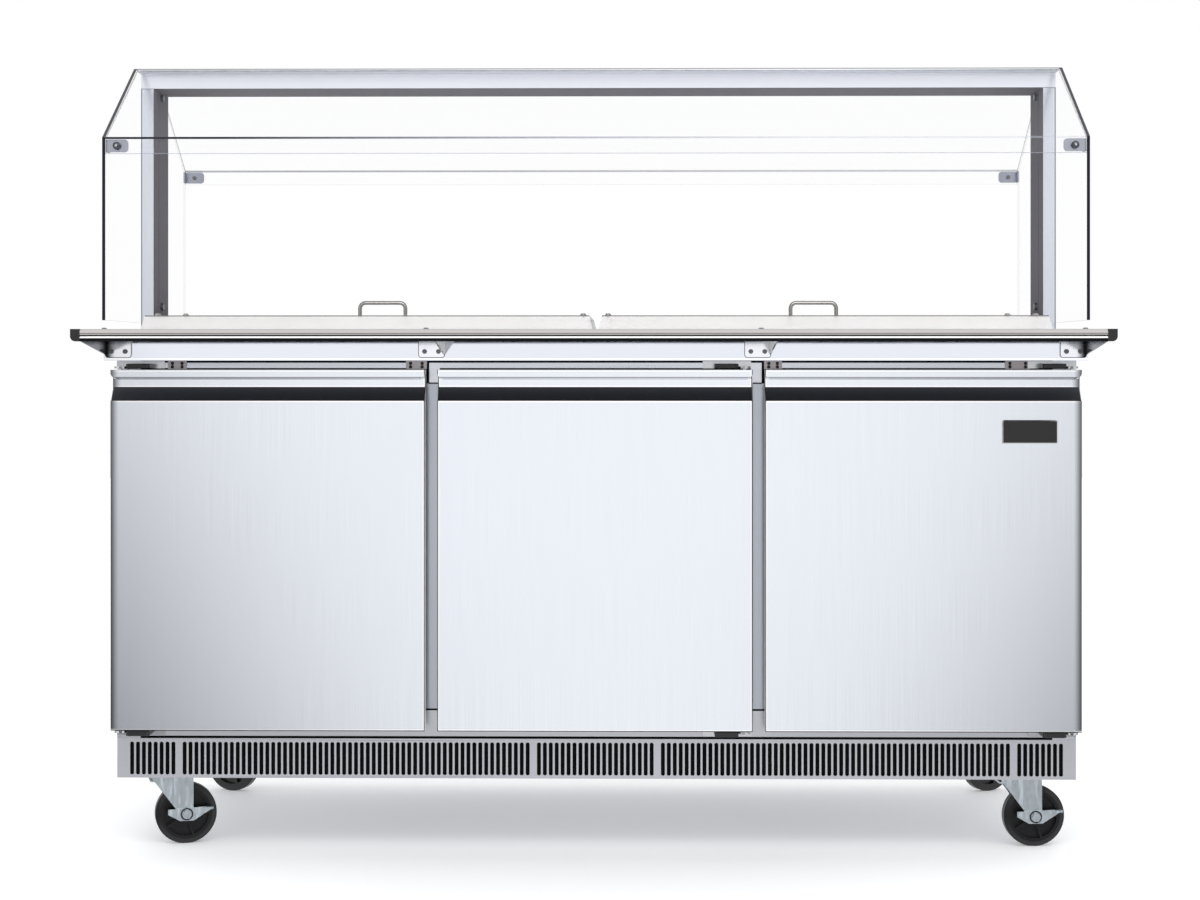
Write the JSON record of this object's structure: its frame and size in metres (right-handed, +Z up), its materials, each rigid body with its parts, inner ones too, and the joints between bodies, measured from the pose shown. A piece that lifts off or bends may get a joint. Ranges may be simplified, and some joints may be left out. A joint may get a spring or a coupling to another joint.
{
  "type": "refrigerated salad bar",
  "caption": "Refrigerated salad bar on casters: doors with finger grooves, food pans under clear covers, a tray slide along the front and a glass sneeze guard.",
  "frame": {"origin": "on the floor under the middle of the overall box", "axes": "+X to the right along the counter, +Y towards the back, +Z up; the doors face -Y"},
  "size_m": [1.862, 1.058, 1.522],
  "materials": {
    "stainless": "brushed stainless steel",
    "liner": "smooth pale liner",
    "black_plastic": "matte black moulding",
    "gasket": "soft grey gasket",
    "guard_glass": "clear tempered glass",
    "clear_plastic": "clear polycarbonate",
    "satin_aluminium": "satin anodised",
    "zinc": "bright zinc plate",
    "bright_steel": "polished",
    "wheel_rubber": "matte black",
    "coated_wire": "grey coated wire",
    "black_paint": "satin black paint"
  },
  "bodies": {
    "cabinet": {"side_panel_left": "stainless", "side_panel_right": "stainless", "back_panel": "stainless", "floor_panel": "stainless", "rear_cover": "stainless", "top_rail": "stainless", "bottom_rail": "stainless", "mullions": "stainless", "chassis": "stainless", "base_grille": "stainless", "counter_top": "stainless", "cold_well": "stainless", "divider_bars": "stainless", "food_pans": "stainless", "tray_slide": "stainless", "tray_brackets": "stainless", "guard_post_left": "satin_aluminium", "guard_post_right": "satin_aluminium", "guard_beam": "satin_aluminium", "guard_top_panel": "satin_aluminium", "evaporator": "satin_aluminium", "condenser": "satin_aluminium", "front_glass": "guard_glass", "rear_glass": "guard_glass", "side_glass_left": "guard_glass", "side_glass_right": "guard_glass", "hinge_arms": "bright_steel", "glass_clips": "bright_steel", "fasteners": "bright_steel", "tray_end_caps": "black_plastic", "caster_plates": "zinc", "shelf_rails": "coated_wire", "wire_shelves": "coated_wire", "compressor": "black_paint"},
    "door_left": {"door_left_skin": "stainless", "door_left_liner": "liner", "door_left_gasket": "gasket", "door_left_grip": "black_plastic"},
    "door_middle": {"door_middle_skin": "stainless", "door_middle_liner": "liner", "door_middle_gasket": "gasket", "door_middle_grip": "black_plastic"},
    "door_right": {"door_right_skin": "stainless", "door_right_liner": "liner", "door_right_gasket": "gasket", "door_right_grip": "black_plastic"},
    "cover_left": {"cover_left": "clear_plastic", "cover_left_handle": "bright_steel"},
    "cover_right": {"cover_right": "clear_plastic", "cover_right_handle": "bright_steel"},
    "caster_front_left": {"caster_front_left_fork": "zinc"},
    "wheel_front_left": {"caster_front_left_wheel": "wheel_rubber"},
    "caster_front_right": {"caster_front_right_fork": "zinc"},
    "wheel_front_right": {"caster_front_right_wheel": "wheel_rubber"},
    "caster_rear_left": {"caster_rear_left_fork": "zinc"},
    "wheel_rear_left": {"caster_rear_left_wheel": "wheel_rubber"},
    "caster_rear_right": {"caster_rear_right_fork": "zinc"},
    "wheel_rear_right": {"caster_rear_right_wheel": "wheel_rubber"},
    "brake_front_left": {"caster_front_left_brake": "zinc"},
    "brake_front_right": {"caster_front_right_brake": "zinc"}
  },
  "joints": [
    {"name": "door_left_hinge", "type": "hinge", "parent": "cabinet", "child": "door_left", "pos_m": [-0.901, -0.231, 0.58], "axis": [0, 0, -1], "range_deg": [0, 105]},
    {"name": "door_middle_hinge", "type": "hinge", "parent": "cabinet", "child": "door_middle", "pos_m": [0.283, -0.231, 0.58], "axis": [0, 0, 1], "range_deg": [0, 105]},
    {"name": "door_right_hinge", "type": "hinge", "parent": "cabinet", "child": "door_right", "pos_m": [0.901, -0.231, 0.58], "axis": [0, 0, 1], "range_deg": [0, 105]},
    {"name": "cover_left_lift", "type": "slide", "parent": "cabinet", "child": "cover_left", "axis": [0, 0, 1], "range_m": [0, 0.15]},
    {"name": "cover_right_lift", "type": "slide", "parent": "cabinet", "child": "cover_right", "axis": [0, 0, 1], "range_m": [0, 0.15]},
    {"name": "caster_front_left_swivel", "type": "hinge", "parent": "cabinet", "child": "caster_front_left", "pos_m": [-0.822, -0.118, 0.127], "axis": [0, 0, 1], "continuous": true},
    {"name": "wheel_front_left_roll", "type": "hinge", "parent": "caster_front_left", "child": "wheel_front_left", "pos_m": [-0.79893, -0.11138, 0.059], "axis": [-0.2756, 0.9613, 0], "continuous": true},
    {"name": "caster_front_right_swivel", "type": "hinge", "parent": "cabinet", "child": "caster_front_right", "pos_m": [0.822, -0.118, 0.127], "axis": [0, 0, 1], "continuous": true},
    {"name": "wheel_front_right_roll", "type": "hinge", "parent": "caster_front_right", "child": "wheel_front_right", "pos_m": [0.84594, -0.11633, 0.059], "axis": [-0.0698, 0.9976, 0], "continuous": true},
    {"name": "caster_rear_left_swivel", "type": "hinge", "parent": "cabinet", "child": "caster_rear_left", "pos_m": [-0.822, 0.454, 0.127], "axis": [0, 0, 1], "continuous": true},
    {"name": "wheel_rear_left_roll", "type": "hinge", "parent": "caster_rear_left", "child": "wheel_rear_left", "pos_m": [-0.79945, 0.44579, 0.059], "axis": [0.342, 0.9397, 0], "continuous": true},
    {"name": "caster_rear_right_swivel", "type": "hinge", "parent": "cabinet", "child": "caster_rear_right", "pos_m": [0.822, 0.454, 0.127], "axis": [0, 0, 1], "continuous": true},
    {"name": "wheel_rear_right_roll", "type": "hinge", "parent": "caster_rear_right", "child": "wheel_rear_right", "pos_m": [0.84375, 0.46414, 0.059], "axis": [-0.4226, 0.9063, 0], "continuous": true},
    {"name": "brake_front_left_pedal", "type": "hinge", "parent": "caster_front_left", "child": "brake_front_left", "pos_m": [-0.79893, -0.11138, 0.059], "axis": [-0.2756, 0.9613, 0], "range_deg": [0, 15]},
    {"name": "brake_front_right_pedal", "type": "hinge", "parent": "caster_front_right", "child": "brake_front_right", "pos_m": [0.84594, -0.11633, 0.059], "axis": [-0.0698, 0.9976, 0], "range_deg": [0, 15]}
  ]
}
